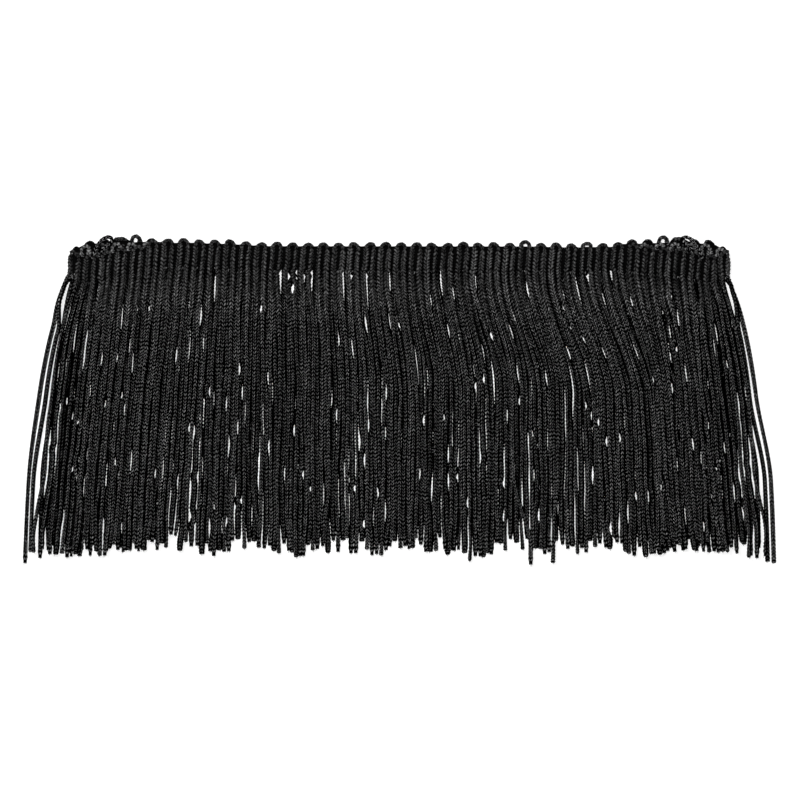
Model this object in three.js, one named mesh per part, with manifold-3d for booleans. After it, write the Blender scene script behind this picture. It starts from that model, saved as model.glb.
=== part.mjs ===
// Chainette fringe trim: a ribbed heading band with a skirt of cut chainette cords hanging from it.
// The length lies face up on a table, with a short run of band turned under at each end.
// Millimetres. +X runs along the trim, +Y from the skirt to the heading, +Z up from the table.
import * as THREE from "three";
import Module from "manifold-3d";

const { lerp, smoothstep } = THREE.MathUtils;
const wasm = await Module();
wasm.setup();

// Driving dimensions of the band
const RIB_PITCH = 3.8;
const RIBS_EACH_WAY = 56; // ribs from the middle of the trim to either cut end
const BAND_THICK = 3.4;
const BAND_HEIGHT = 9.7; // ribbed heading, above the strip that the cords leave from
const RIB_GROOVE = 0.9; // depth of the groove between two ribs
const PICOT_RISE = 1.9; // the cord's turn from one rib to the next, above the band's top edge
const HEADING_Y = 65.3; // lower edge of the ribbed heading, from the middle of the part

// Driving dimensions of the fold at each end
const FOLD_GAP = 0.4; // between the band and its turned-under end
const FLAT_RUN = 76; // band that lies on the table, from the middle outwards
const OVER_RUN = 51.7; // band that lies over its turned-under end
const RISE_ANGLE = 0.25; // slope, in radians, of the band's climb on to that end
const FOLD_RADIUS = (BAND_THICK + FOLD_GAP) / 2;
const RISE_RADIUS = FOLD_RADIUS / (1 - Math.cos(RISE_ANGLE));

// Driving dimensions of the skirt
const STRIP_HEIGHT = 2; // strip along the heading's lower edge that holds the cords' roots
const STRIP_THICK = 3.2;
const PIECE_GAP = 0.6; // between the heading and the strip
const ROOT_DEPTH = 1; // how far a cord reaches into the strip
const CORD_WIDTH = 2.2;
const CORD_THICK = 1.6;
const CORD_STATIONS = [12, 34, 80]; // sections below the strip, between a cord's root and its tip
const FAN_LENGTH = 50; // distance in which a cord takes most of its sideways lean
const SWEEP_LENGTH = 30; // distance in which the brushed cords move over
const MEAN_DROP = 134;
const SWAY = 0.4; // a cord's gentle waver to either side
const SWAY_WAVE = { short: 90, long: 160 }; // length of one waver
const CALM = { from: 142, to: 156 }; // root places between which the waver dies away, near the folds
const UNEVEN = 5; // most that a cord falls short of the hem
const SPLIT = 0.7; // most that a back cord's root lies off the middle of its gap
const SPLIT_LENGTH = 22; // distance in which it comes to the middle

// Straight runs and bends of the band, from its middle to its cut end, seen along Y
const RISE_LENGTH = RISE_RADIUS * RISE_ANGLE;
const FOLD_LENGTH = FOLD_RADIUS * Math.PI;
const TO_FOLD = FLAT_RUN + 2 * RISE_LENGTH + OVER_RUN;
const RETURN_RUN = RIBS_EACH_WAY * RIB_PITCH - TO_FOLD - FOLD_LENGTH;
const RUNS = [
  { length: FLAT_RUN, turn: 0 },
  { length: RISE_LENGTH, turn: RISE_ANGLE },
  { length: RISE_LENGTH, turn: -RISE_ANGLE },
  { length: OVER_RUN, turn: 0 },
  { length: FOLD_LENGTH, turn: -Math.PI },
  { length: RETURN_RUN, turn: 0 },
];

// How far the band has slipped up (+Y), by distance along it from the middle
const SLIPS = [
  { at: -213, value: 1.6 },
  { at: -202, value: 2.2 },
  { at: -186, value: 1.8 },
  { at: -173, value: 1.3 },
  { at: -168.5, value: -0.3 },
  { at: -164.8, value: -1.8 },
  { at: -161.2, value: -3.4 },
  { at: -157, value: -5 },
  { at: -151, value: -6 },
  { at: -137, value: -2.9 },
  { at: -128, value: -2 },
  { at: -120, value: 1.2 },
  { at: -105, value: 1.6 },
  { at: -90, value: 1.2 },
  { at: -60, value: 0 },
  { at: 60, value: -0.1 },
  { at: 85, value: -0.6 },
  { at: 114, value: -0.4 },
  { at: 121, value: -1.8 },
  { at: 137, value: -2.9 },
  { at: 151, value: -6 },
  { at: 157, value: -5 },
  { at: 161.2, value: -3.4 },
  { at: 164.8, value: -1.8 },
  { at: 168.5, value: -0.3 },
  { at: 173, value: 1.3 },
  { at: 186, value: 1.8 },
  { at: 213, value: 1.1 },
];

// Sideways lean of a cord at its tip, outwards, by the distance of its root from the middle
const FACE_FAN = [
  { at: 0, value: 0 },
  { at: 100, value: 2 },
  { at: 127, value: 4.5 },
  { at: 146, value: 8 },
  { at: 158, value: 18 },
];
const RETURN_FAN = [
  { at: 105, value: 6 },
  { at: 140, value: 9 },
  { at: 152, value: 12 },
  { at: 158, value: 13.5 },
];

// Lean that a cord near the fold adds lower down, by the distance of its root from the middle
const LATE_FAN = [
  { at: 150, value: 0 },
  { at: 158, value: 2 },
];
const LATE_LEAN = { from: 57, to: 100 };

// Cords that leave from the fold, outermost first, with the stretch in which they come down to the table
const FOLD_CORDS = [
  { half: 85, fan: 22.5, late: 0, from: 0, to: 45 },
  { half: 84, fan: 20.5, late: 1.7, from: 42, to: 100 },
  { half: 86, fan: 15.5, late: 3.9, from: 0, to: 45 },
];

// Cords that have been brushed to the right just below the heading, by the place of their roots
const SWEEPS = [
  { at: -25, value: 0 },
  { at: 20, value: 2.5 },
  { at: 60, value: 5 },
  { at: 95, value: 5.5 },
  { at: 118, value: 4.5 },
  { at: 140, value: 1 },
  { at: 155, value: 0 },
];

// Uneven hem: how far the cords' tips lie below the strip's straight lower edge, by the place of their tips
const HEM = [
  { at: -184, value: 143.1 },
  { at: -160, value: 138.5 },
  { at: -112, value: 132.5 },
  { at: -95, value: 142 },
  { at: -75, value: 133.5 },
  { at: -45, value: 139.5 },
  { at: -30, value: 136 },
  { at: -12, value: 139.5 },
  { at: -2, value: 132 },
  { at: 20, value: 134.5 },
  { at: 32, value: 141.5 },
  { at: 57, value: 134.5 },
  { at: 82, value: 139 },
  { at: 102, value: 133.5 },
  { at: 118, value: 140.5 },
  { at: 138, value: 134 },
  { at: 160, value: 137.5 },
  { at: 184, value: 143.1 },
];

// Face cords that stray over their neighbours, by place in half ribs: stray at the tip and added length
const STRAYS = [
  { half: -37, stray: 2.2, longer: 3 },
  { half: -17, stray: -2.4, longer: 2 },
  { half: 27, stray: 2.6, longer: 7 },
  { half: 39, stray: -2, longer: 3 },
];
const STRAY_LIFT = 1.8;
const STRAY_FROM = 100;

// Picots that have worked loose, by distance along the band, with their rise and width
const LOOSE_PICOTS = [
  { along: -193.8, rise: 3.7, width: 5.4 },
  { along: -186.2, rise: 2.4, width: 8.4 },
  { along: -178.6, rise: 3.5, width: 6.6 },
  { along: 60.8, rise: 3, width: 4.8 },
  { along: 91.2, rise: 2.5, width: 4.8 },
  { along: 178.6, rise: 3.5, width: 6.6 },
  { along: 186.2, rise: 2.4, width: 8.4 },
  { along: 193.8, rise: 3.5, width: 5.4 },
];
const PICOT_CORD = 1.7;
const PICOT_SEAT = 1.5; // how far a loose picot's legs reach into the band
const PICOT_STEPS = 8;

// Value of a table at a place, eased between its rows and level past its ends
function tableAt(table, place) {
  const next = table.findIndex((row) => row.at >= place);
  if (next === 0) return table[0].value;
  if (next < 0) return table[table.length - 1].value;
  const [low, high] = [table[next - 1], table[next]];
  return lerp(low.value, high.value, smoothstep(place, low.at, high.at));
}

// A fixed scatter from 0 to 1 for a cord and a purpose
function scatter(cord, purpose) {
  const wave = Math.sin(cord * 12.9898 + purpose * 78.233) * 43758.5453;
  return wave - Math.floor(wave);
}

// Place and face normal of the band's middle plane, at a distance along it from the middle of the trim
function bandAt(along) {
  const side = along < 0 ? -1 : 1;
  let left = Math.abs(along);
  let slope = 0;
  let x = 0;
  let z = BAND_THICK / 2;
  for (const { length, turn } of RUNS) {
    const step = Math.min(left, length);
    const half = (turn * step) / length / 2;
    const chord = half ? (step * Math.sin(half)) / half : step;
    x += chord * Math.cos(slope + half);
    z += chord * Math.sin(slope + half);
    slope += 2 * half;
    left -= step;
  }
  return {
    x: side * x,
    y: HEADING_Y + tableAt(SLIPS, along),
    z,
    normal: new THREE.Vector3(-side * Math.sin(slope), 0, Math.cos(slope)),
  };
}

// A point on the band: out from its middle plane towards its face, and up from the heading's lower edge
function bandPoint(along, out, up) {
  const place = bandAt(along);
  return new THREE.Vector3(place.x, place.y + up, place.z).addScaledVector(place.normal, out);
}

// A closed solid through rings of equal size, each convex and counter-clockwise seen from the last ring
function loft(rings) {
  const size = rings[0].length;
  const last = (rings.length - 1) * size;
  const corners = [];
  for (let start = 0; start < last; start += size)
    for (let i = 0; i < size; i++) {
      const a = start + i;
      const b = start + ((i + 1) % size);
      corners.push(a, b, b + size, a, b + size, a + size);
    }
  for (let i = 1; i + 1 < size; i++) corners.push(0, i + 1, i, last, last + i, last + i + 1);
  const points = rings.flat().flatMap((point) => point.toArray());
  return new wasm.Manifold(
    new wasm.Mesh({
      numProp: 3,
      vertProperties: new Float32Array(points),
      triVerts: new Uint32Array(corners),
    }),
  );
}

function meshOf(name, solid, material) {
  const { vertProperties, triVerts } = solid.getMesh();
  const geometry = new THREE.BufferGeometry();
  geometry.setAttribute("position", new THREE.BufferAttribute(vertProperties, 3));
  geometry.setIndex(new THREE.BufferAttribute(triVerts, 1));
  geometry.computeVertexNormals();
  const mesh = new THREE.Mesh(geometry, material);
  mesh.name = name;
  return mesh;
}

// Heading

// Profile of one rib across the band, by share of its pitch
const RIB_PROFILE = [
  { share: 0, groove: 1 },
  { share: 0.22, groove: 0.25 },
  { share: 0.5, groove: 0 },
  { share: 0.78, groove: 0.25 },
];

// Where a picot's shoulder starts and ends, by share of a pair of ribs from the picot's middle
const PICOT_SHOULDER = { top: 0.08, foot: 0.4 };

// Height of the scalloped top edge: each picot joins two ribs, over the groove between them.
// The fold takes up one rib, so the picots of the turned-under end stand over the other grooves.
function picotRise(along) {
  if (LOOSE_PICOTS.some((picot) => Math.abs(picot.along - along) < RIB_PITCH)) return 0;
  const underneath = Math.abs(along) > TO_FOLD + FOLD_LENGTH / 2;
  const pair = (along + (underneath ? RIB_PITCH : 0)) / (2 * RIB_PITCH);
  const fromMiddle = Math.abs(pair - Math.round(pair));
  return PICOT_RISE * (1 - smoothstep(fromMiddle, PICOT_SHOULDER.top, PICOT_SHOULDER.foot));
}

function headingRing(along, groove) {
  const face = BAND_THICK / 2 - groove * RIB_GROOVE;
  const top = BAND_HEIGHT + picotRise(along);
  return [
    bandPoint(along, -BAND_THICK / 2, 0),
    bandPoint(along, -BAND_THICK / 2, top),
    bandPoint(along, face, top),
    bandPoint(along, face, 0),
  ];
}

// A loose picot: an arch of cord that stands up from the band's top edge
function loosePicot({ along, rise, width }) {
  const rings = [];
  for (let step = 0; step <= PICOT_STEPS; step++) {
    const angle = Math.PI * (1 - step / PICOT_STEPS);
    const ringAt = (grow) => ({
      along: along + (width / 2 + grow - PICOT_CORD / 2) * Math.cos(angle),
      up:
        BAND_HEIGHT -
        PICOT_SEAT +
        (rise + PICOT_SEAT + grow - PICOT_CORD / 2) * Math.sin(angle),
    });
    const inner = ringAt(-PICOT_CORD / 2);
    const outer = ringAt(PICOT_CORD / 2);
    rings.push([
      bandPoint(inner.along, -PICOT_CORD / 2, inner.up),
      bandPoint(outer.along, -PICOT_CORD / 2, outer.up),
      bandPoint(outer.along, PICOT_CORD / 2, outer.up),
      bandPoint(inner.along, PICOT_CORD / 2, inner.up),
    ]);
  }
  return loft(rings);
}

function makeHeading() {
  const rings = [];
  for (let rib = -RIBS_EACH_WAY; rib < RIBS_EACH_WAY; rib++)
    for (const { share, groove } of RIB_PROFILE)
      rings.push(headingRing((rib + share) * RIB_PITCH, groove));
  rings.push(headingRing(RIBS_EACH_WAY * RIB_PITCH, 1));
  return LOOSE_PICOTS.map(loosePicot).reduce(
    (heading, picot) => heading.add(picot),
    loft(rings),
  );
}

// Skirt

function stripRing(along) {
  const low = -PIECE_GAP - STRIP_HEIGHT;
  return [
    bandPoint(along, -STRIP_THICK / 2, low),
    bandPoint(along, -STRIP_THICK / 2, -PIECE_GAP),
    bandPoint(along, STRIP_THICK / 2, -PIECE_GAP),
    bandPoint(along, STRIP_THICK / 2, low),
  ];
}

// The strip's rings stand far apart on the table, closer over the turned-under end, closest in the fold
const FLAT_RIBS = Math.floor(FLAT_RUN / RIB_PITCH);
const FLAT_STEP = 4;
const FOLD_REACH = 2 * RIB_PITCH;

function makeStrip() {
  const half = [];
  for (let rib = FLAT_STEP; rib < FLAT_RIBS; rib += FLAT_STEP) half.push(rib * RIB_PITCH);
  for (let rib = FLAT_RIBS; rib < RIBS_EACH_WAY; rib++)
    RIB_PROFILE.forEach(({ share }, i) => {
      const along = (rib + share) * RIB_PITCH;
      const nearFold = Math.abs(along - TO_FOLD - FOLD_LENGTH / 2) < FOLD_REACH;
      if (nearFold || i % 2 === 0) half.push(along);
    });
  half.push(RIBS_EACH_WAY * RIB_PITCH);
  const stations = [...half.map((along) => -along).reverse(), 0, ...half];
  return loft(stations.map(stripRing));
}

// Sideways place of a cord with a given root, at a distance below the strip
function leanAt(root, fan, late, below) {
  const outwards = root < 0 ? -1 : 1;
  const grown = (1 - Math.exp(-below / FAN_LENGTH)) / (1 - Math.exp(-MEAN_DROP / FAN_LENGTH));
  const added = late * smoothstep(below, LATE_LEAN.from, LATE_LEAN.to);
  return root + outwards * (fan * grown + added);
}

// Root of a cord: face cords stand on the ribs and back cords between them, counted in half ribs
function rootOf(half) {
  const along = (half * RIB_PITCH) / 2;
  const onFace = half % 2 !== 0;
  const layer = ((onFace ? 1 : -1) * (BAND_THICK - CORD_THICK)) / 2;
  const { x, z } = bandPoint(along, layer, 0);
  const { y, normal } = bandAt(along);
  return {
    onFace,
    x,
    z,
    slip: y - HEADING_Y,
    fold: FOLD_CORDS.find((row) => row.half === Math.abs(half)),
    returned: normal.z < 0,
  };
}

// Sideways place of a face cord: it fans, is brushed over and wavers
function faceLine(half) {
  const { x, returned } = rootOf(half);
  const fan = tableAt(returned ? RETURN_FAN : FACE_FAN, Math.abs(x));
  const late = tableAt(LATE_FAN, Math.abs(x));
  const sweep = returned ? 0 : tableAt(SWEEPS, x);
  const wave = lerp(SWAY_WAVE.short, SWAY_WAVE.long, scatter(half, 2));
  const phase = scatter(half, 3);
  const sway = SWAY * (1 - smoothstep(Math.abs(x), CALM.from, CALM.to));
  return (below) => {
    const grown = smoothstep(below, 0, SWEEP_LENGTH);
    const swayed = sway * Math.sin(2 * Math.PI * (phase + below / wave));
    return leanAt(x, fan, late, below) + grown * (sweep + swayed);
  };
}

// Sideways place of a back cord: it lies in the gap between the two face cords beside it
function backLine(half) {
  const [before, after] = [faceLine(half - 1), faceLine(half + 1)];
  const split = SPLIT * (2 * scatter(half, 1) - 1) ** 3;
  return (below) =>
    (before(below) + after(below)) / 2 + split * (1 - smoothstep(below, 0, SPLIT_LENGTH));
}

// One cord of the skirt: its line below the strip, its length and its top
function cordOf(half) {
  const root = rootOf(half);
  const { fold } = root;
  const { stray, longer } = STRAYS.find((row) => row.half === half) || { stray: 0, longer: 0 };
  const sideways = root.onFace ? faceLine(half) : backLine(half);
  const lineAt = (below) => {
    if (fold) {
      const z = lerp(root.z, CORD_THICK / 2, smoothstep(below, fold.from, fold.to));
      return new THREE.Vector3(leanAt(root.x, fold.fan, fold.late, below), -below, z);
    }
    const strayed = stray * smoothstep(below, STRAY_FROM, MEAN_DROP);
    const raised = stray ? STRAY_LIFT * smoothstep(below, STRAY_FROM / 2, STRAY_FROM) : 0;
    return new THREE.Vector3(sideways(below) + strayed, -below, root.z + raised);
  };
  const shorter = fold ? 0 : UNEVEN * scatter(half, 4) ** 1.5;
  return {
    lineAt,
    length: tableAt(HEM, lineAt(MEAN_DROP).x) + root.slip + longer - shorter,
    top: HEADING_Y + root.slip - PIECE_GAP - STRIP_HEIGHT,
  };
}

// Three-sided section of a cord, flat side down
function cordRing(centre, ahead) {
  const across = new THREE.Vector3(-ahead.y, ahead.x, 0).normalize();
  const low = -CORD_THICK / 2;
  return [
    centre.clone().addScaledVector(across, -CORD_WIDTH / 2).setZ(centre.z + low),
    centre.clone().addScaledVector(across, CORD_WIDTH / 2).setZ(centre.z + low),
    centre.clone().setZ(centre.z - low),
  ];
}

function makeCord({ lineAt, length, top }) {
  const rings = [0, ...CORD_STATIONS, length].map((below) => {
    const ahead = lineAt(below + 1).sub(lineAt(below - 1));
    return cordRing(lineAt(below).setY(top - below), ahead);
  });
  rings[0].forEach((point) => point.setY(top + ROOT_DEPTH));
  return loft(rings);
}

function makeSkirt() {
  const last = 2 * RIBS_EACH_WAY - 1;
  let skirt = makeStrip();
  for (let half = -last; half <= last; half++) skirt = skirt.add(makeCord(cordOf(half)));
  return skirt;
}

const blackYarn = new THREE.MeshStandardMaterial({
  color: 0x141414,
  roughness: 0.5,
  metalness: 0,
});

const trim = new THREE.Group();
trim.name = "chainette_fringe_trim";
trim.add(meshOf("heading", makeHeading(), blackYarn));
trim.add(meshOf("fringe", makeSkirt(), blackYarn));

export default trim;
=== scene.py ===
"""Chainette fringe trim: a ribbed heading with a picot edge and a skirt of loose chain-knit cords.

The length lies face up on a pale table with both ends turned under. Sizes are in millimetres;
+X runs along the trim, +Y from the skirt to the heading and +Z up from the table.
A cord's place along the trim is counted in half ribs from the middle: odd places are face cords,
which stand on the ribs, and even places are back cords, which stand between them.
"""

import math
from collections import namedtuple

import bpy
import numpy as np
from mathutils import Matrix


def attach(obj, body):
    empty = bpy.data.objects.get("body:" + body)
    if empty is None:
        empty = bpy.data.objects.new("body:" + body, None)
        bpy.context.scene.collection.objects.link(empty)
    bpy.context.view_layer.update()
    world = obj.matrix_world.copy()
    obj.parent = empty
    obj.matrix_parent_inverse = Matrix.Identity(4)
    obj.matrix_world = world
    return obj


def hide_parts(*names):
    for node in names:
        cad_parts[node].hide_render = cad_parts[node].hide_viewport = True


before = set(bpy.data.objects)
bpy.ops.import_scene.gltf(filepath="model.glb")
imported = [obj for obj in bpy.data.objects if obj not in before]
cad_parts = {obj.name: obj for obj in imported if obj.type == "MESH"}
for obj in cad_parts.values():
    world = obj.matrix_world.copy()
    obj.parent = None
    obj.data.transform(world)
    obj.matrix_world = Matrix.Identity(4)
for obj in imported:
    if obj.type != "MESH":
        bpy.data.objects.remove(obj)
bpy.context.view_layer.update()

MM = 0.001
BODY = "root"
SEED = 41

# Rows of the tables below
LoosePicot = namedtuple("LoosePicot", "rise width fill")
FoldCord = namedtuple("FoldCord", "fan late at_root start end")
Stray = namedtuple("Stray", "aside longer")

# Where a cord leaves the strip, a run of cord from point to point, and a slit between cords
Root = namedtuple("Root", "x top z slip normal in_fold returned")
Run = namedtuple("Run", "points facing below taut turn width")
Slit = namedtuple("Slit", "line depth reach opening")

# The band
RIB_PITCH = 3.8
HALF_PITCH = RIB_PITCH / 2
RIBS_EACH_WAY = 56
BAND_THICK = 3.4
BAND_HEIGHT = 9.7
HEADING_Y = 65.3

# The fold at each end
FOLD_GAP = 0.4
FLAT_RUN = 76
OVER_RUN = 51.7
RISE_ANGLE = 0.25
FOLD_RADIUS = (BAND_THICK + FOLD_GAP) / 2
RISE_RADIUS = FOLD_RADIUS / (1 - math.cos(RISE_ANGLE))
RISE_LENGTH = RISE_RADIUS * RISE_ANGLE
FOLD_LENGTH = FOLD_RADIUS * math.pi
TO_FOLD = FLAT_RUN + 2 * RISE_LENGTH + OVER_RUN
RETURN_RUN = RIBS_EACH_WAY * RIB_PITCH - TO_FOLD - FOLD_LENGTH

# Runs of the band from its middle to its cut end: length, turn
RUNS = [
    (FLAT_RUN, 0.0),
    (RISE_LENGTH, RISE_ANGLE),
    (RISE_LENGTH, -RISE_ANGLE),
    (OVER_RUN, 0.0),
    (FOLD_LENGTH, -math.pi),
    (RETURN_RUN, 0.0),
]

# Distance along the band from its middle, how far it has slipped up
SLIPS = [
    (-213, 1.6), (-202, 2.2), (-186, 1.8), (-173, 1.3), (-167.5, 0.5), (-164.8, -0.8), (-161.2, -3),
    (-157, -5), (-151, -6), (-137, -2.9), (-128, -2), (-120, 1.2), (-105, 1.6), (-90, 1.2), (-60, 0),
    (60, -0.1), (85, -0.6), (114, -0.4), (121, -1.8), (137, -2.9), (151, -6), (157, -5),
    (161.2, -3), (164.8, -0.8), (167.5, 0.5), (173, 1.3), (186, 1.8), (213, 1.1),
]

# The picots: one for each two ribs, and none on the rib in the bend of a fold
PICOT_RISE = 1.9
PICOT_SHOULDER = (0.08, 0.4)
PICOT_UNEVEN = 0.3
PICOT_STEP = 4
LAST_FRONT_PICOT = 84
BEND_RIB = 87
FIRST_UNDER_PICOT = 90

# Place of a loose picot along the band: its rise, its width, how far the ground fills it
LOOSE_PICOTS = {
    -193.8: LoosePicot(3.7, 5.8, 0),
    -186.2: LoosePicot(2.6, 12, 3),
    60.8: LoosePicot(3.0, 5.2, 0),
    91.2: LoosePicot(2.6, 5.2, 0.3),
    186.2: LoosePicot(2.6, 12, 3),
    193.8: LoosePicot(3.5, 5.8, 0),
}
LOOSE_SPRING = 0.2
LOOSE_LEAN = 1.6

# Loose loop that lies over the left end of the heading, and how far in the right end's loop lies
LOOSE_LOOP = [
    (-150.3, 67.5, 5.2), (-149.5, 70.2, 6.7), (-148.2, 73.4, 7.3), (-146.5, 76.2, 6.8),
    (-144.6, 78.0, 5.8), (-142.8, 78.8, 5.3), (-141.3, 78.2, 5.6), (-141.6, 76.7, 6.2),
    (-143.0, 75.2, 6.8), (-144.3, 73.6, 6.9), (-144.9, 71.8, 6.3), (-144.9, 69.6, 5.0),
]
LOOP_SHIFT = 2.3
LOOP_STEPS = 8

# The skirt, and how much shorter some of its cords are cut
STRIP_FOOT = -2.6
CORD_THICK = 1.6
MEAN_DROP = 134
UNEVEN = 8
UNEVEN_BIAS = 1.5

# Distance of a cord's root from the middle, its lean outwards at the tip
FACE_FAN = [(0, 0), (60, 0.5), (80, 4), (112, 11), (132, 12.5), (146, 13.5), (153, 15.5), (158, 17.5)]
RETURN_FAN = [(105, 9), (140, 10), (152, 10.5), (158, 11.5)]

# The lean is steady down the cords of the middle, and most of it is near the root at the folds
STEADY_LENGTH = 300
FAN_LENGTH = 50
STEADY_TO = (140, 156)

# Distance of a cord's root from the middle, its added lean lower down
LATE_FAN = [(150, 0), (158, 4.7)]
LATE_LEAN = (90, 128)

# Cord that leaves from the fold, by place in half ribs: lean at the tip, added lean lower down,
# lean at the root alone, stretch in which it comes down to the table
FOLD_CORDS = {
    -86: FoldCord(14.8, 2.8, 0.6, 0, 45),
    -85: FoldCord(21.2, 1.3, 1.4, 0, 45),
    -84: FoldCord(19.5, 2.7, 3.4, 42, 100),
    84: FoldCord(17.1, 4.5, 2.0, 42, 100),
    85: FoldCord(18.8, 3.7, 0, 0, 45),
    86: FoldCord(13.4, 4.2, -1.2, 0, 45),
}
FOLD_LATE_LEAN = (57, 100)
ROOT_LEAN_GROWS = (-4, 3)
ROOT_LEAN_FADES = (9, 26)
OUTERMOST = 85

# Place of a cord's root, how far it has been brushed to the right below the heading
SWEEPS = [
    (-65, 0), (-40, 2), (-12, 5.5), (15, 8), (40, 11.5), (65, 14.5), (85, 14.5), (103, 13), (114, 7),
    (124, 3), (145, 0),
]
SWEEP_LENGTH = 60

# Slow sway of a cord, which dies out towards the folds, and its small unevenness
SWAY = 0.4
SWAY_WAVE = (90, 160)
CALM = (142, 156)
WAVER = 0.14
LIFT_WAVER = 0.09
WAVER_WAVES = (17.0, 31.0, 53.0)
WAVER_SPREAD = (0.8, 1.2)
WAVER_START = 20

# Clumps in which the cords gather at the hem
CLUMP = 0.7
CLUMP_PITCH = 17
CLUMP_FROM = 121

# Place of a cord's tip, how far the hem lies below the strip there
HEM = [
    (-184, 143.1), (-160, 140.2), (-112, 136.5), (-95, 140.2), (-75, 136.2), (-45, 140.7),
    (-30, 137.7), (-12, 141.2), (-2, 135.7), (20, 138.2), (32, 142.2), (57, 138.7),
    (82, 140.2), (102, 136.7), (118, 140.2), (138, 137.2), (160, 138.2), (184, 143.1),
]

# Face cord that strays over its neighbours, by place in half ribs: sideways stray, added length
STRAYS = {-37: Stray(3.5, 3), -19: Stray(-3.5, 2), 23: Stray(8, 7), 33: Stray(-3.5, 3)}
STRAY_LIFT = 1.8
STRAY_FROM = 100
STRAY_CLOSING = 0.5
STRAY_CLOSED = (75, 105)

# Slit in the upper skirt, by the cord on its left in half ribs: its depth, its reach, how wide it opens
UPPER_SLITS = {
    -78: (9, 7, 0.2), -71: (23, 13, 0.7), -68: (37, 10, 0.6), -54: (17, 7, 0.2), -51: (24, 14, 0.6),
    -50: (36, 9, 0.3), -48: (8, 12, 0.4), -31: (2, 15, 0.3), -29: (2, 8, 0.3), -27: (2, 16, 0.2),
    -25: (2, 8, 0.1), -23: (3, 10, 0.2), -17: (33, 6, 0.3), -15: (6, 14, 0.3), -14: (39, 9, 0.3),
    -13: (1, 6, 0.2), -9: (5, 22, 0.3), -8: (61, 20, 0.4), -4: (24, 10, 0.3), -3: (6, 9, 0.3),
    7: (14, 7, 0.2), 10: (6, 12, 0.1), 13: (11, 9, 0.1), 17: (41, 10, 0.3), 18: (54, 14, 0.4),
    19: (6, 10, 0.2), 27: (22, 7, 0.3), 32: (9, 8, 0.2), 36: (61, 16, 0.5), 37: (13, 14, 0.2),
    41: (13, 9, 0.2), 45: (10, 12, 0.2), 48: (1, 8, 0.1), 51: (14, 9, 0.2), 54: (1, 8, 0.1),
    66: (44, 14, 0.6), 67: (29, 12, 0.6), 70: (23, 8, 0.7), 76: (9, 7, 0.2),
}

# Scattered slits: how many, among which cords, the ranges of their depth, reach and opening, and
# the powers that make more of them deep and few of them long
SLITS = 120
SLIT_CORDS = 82
END_SLITS = 65
END_CORDS = (64, 82)
SLIT_DEPTH = (8, 127)
SLIT_REACH = (3, 10)
SLIT_OPENING = (0.3, 0.6)
SLIT_BIAS = (0.7, 2, 1)

# How cords part at a slit: from how far off, how steeply, and what counts as a cord's width
SLIT_SIDES = 6
SLIT_PUSH = 0.5
SEEN_WIDTH = 2.1

# The chain-knit cord and its stitches
CORD_HALF_WIDTH = 1.2
CORD_HALF_THICK = 0.82
STITCH = 1.65
STITCH_SPREAD = (0.94, 1.06)
STITCH_WAVER = 0.2
STITCH_PHASES = 9
RINGS_PER_STITCH = 2
CHEVRON = 2.1
RIB_CHEVRON = 0.9
VALLEY = 0.56
BLUNT_RINGS = 4
TIP_TAPER = 0.7
TAPER_TO = 0.5
TABLE_GAP = 0.02

# Section of the cord: across, out towards its face, share of the valley's depth
SECTION = np.array([
    (1.0, 0.0, 0.35),
    (0.64, 0.9, 1.0),
    (0.0, 0.62, 0.4),
    (-0.64, 0.9, 1.0),
    (-1.0, 0.0, 0.35),
    (-0.64, -0.9, 1.0),
    (0.0, -0.62, 0.4),
    (0.64, -0.9, 1.0),
])

# Widths of the cord, as shares of its own: in the skirt, at its tip, on a rib, in a picot, in a loop
FACE_WIDTH = 0.91
BACK_WIDTH = 1.46
# A back cord's share left clear of painted shade at its edges, where the face cords cover it
BACK_UNSHADED_SHARE = 0.62
FOLD_WIDTH = 1.05
TIP_WIDTH = 1.1
TIP_LENGTH = 8
RIB_WIDTH = 1.5
TURN_WIDTH = 0.8
LOOSE_WIDTH = 0.95
LOOP_WIDTH = 0.9

# Lie of a cord on its rib and over its picot
RIB_STEPS = 14
RIB_BOW = 0.3
RIB_LEAN = 0.7
LEAN_TURNS = (150, 158)
TURN_STEPS = 17
TURN_START = 2.2

# How far below the strip a face cord keeps the heading's stretch, and any cord turns to lie flat
TAUT_FADE = 35
FOLD_FADE = 5
FADING = (78, 83)
FLAT_FROM = 15

# Roll of a cord about its own line: held on its rib, free in the skirt
RIB_ROLL = (0.4, 1.1)
ROLL_LEAN = 0.5
ROLL_TURN = 0.45
ROLL_WAVE = 120
ROLL_LENGTH = 28
BACK_ROLL = 0.5
LOOP_ROLL = 0.5

# Tone of a cord, with painted shade on the back cords and at their roots under the heading, and the step
# in its finish's pattern from one cord to the next
FACE_TONE = (1.03, 1.58)
BACK_TONE_IN_SHADE = (0.87, 1.41)
RIB_TONE = (0.55, 0.76)
TURN_TONE = 0.7
SHADED_TONE = 1.1
SHADED_LENGTH = (-6, 14)
LOOP_TONE = 2.2
FIBRE_TONE = 0.5
PATTERN_STEP = 100

# Scatter of the cords: the steps of its wave, and what each scatter is for
CORD_STEP = 12.9898
PURPOSE_STEP = 78.233
SCATTER_HEIGHT = 43758.5453
FOR_SWAY_WAVE = 2
FOR_SWAY_PHASE = 3
FOR_CUT = 4
FOR_ROLL_LEAN = 6
FOR_ROLL_PHASE = 8
FOR_TONE = 9
FOR_RIB_ROLL = 10
FOR_STITCH = 11
FOR_STITCH_PHASE = 12
FOR_PICOT_RISE = 13
FOR_PICOT_SHIFT = 14
FOR_BOW = 15
FOR_WAVER = 20
FOR_LIFT = 30

# The ground of the heading and the threads that bind it
GROUND_LOW = -2.2
GROUND_HIGH = 9.5
GROUND_THICK = 0.5
GROUND_FILL = 0.75
GROUND_STEPS = 4
THREAD_ROWS = (-1.2, 1.0, 3.2, 5.4, 7.6)
THREAD_RADIUS = 0.3
THREAD_OUT = 0.1
THREAD_WAVE = 0.15
THREAD_SIDES = 6

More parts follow.
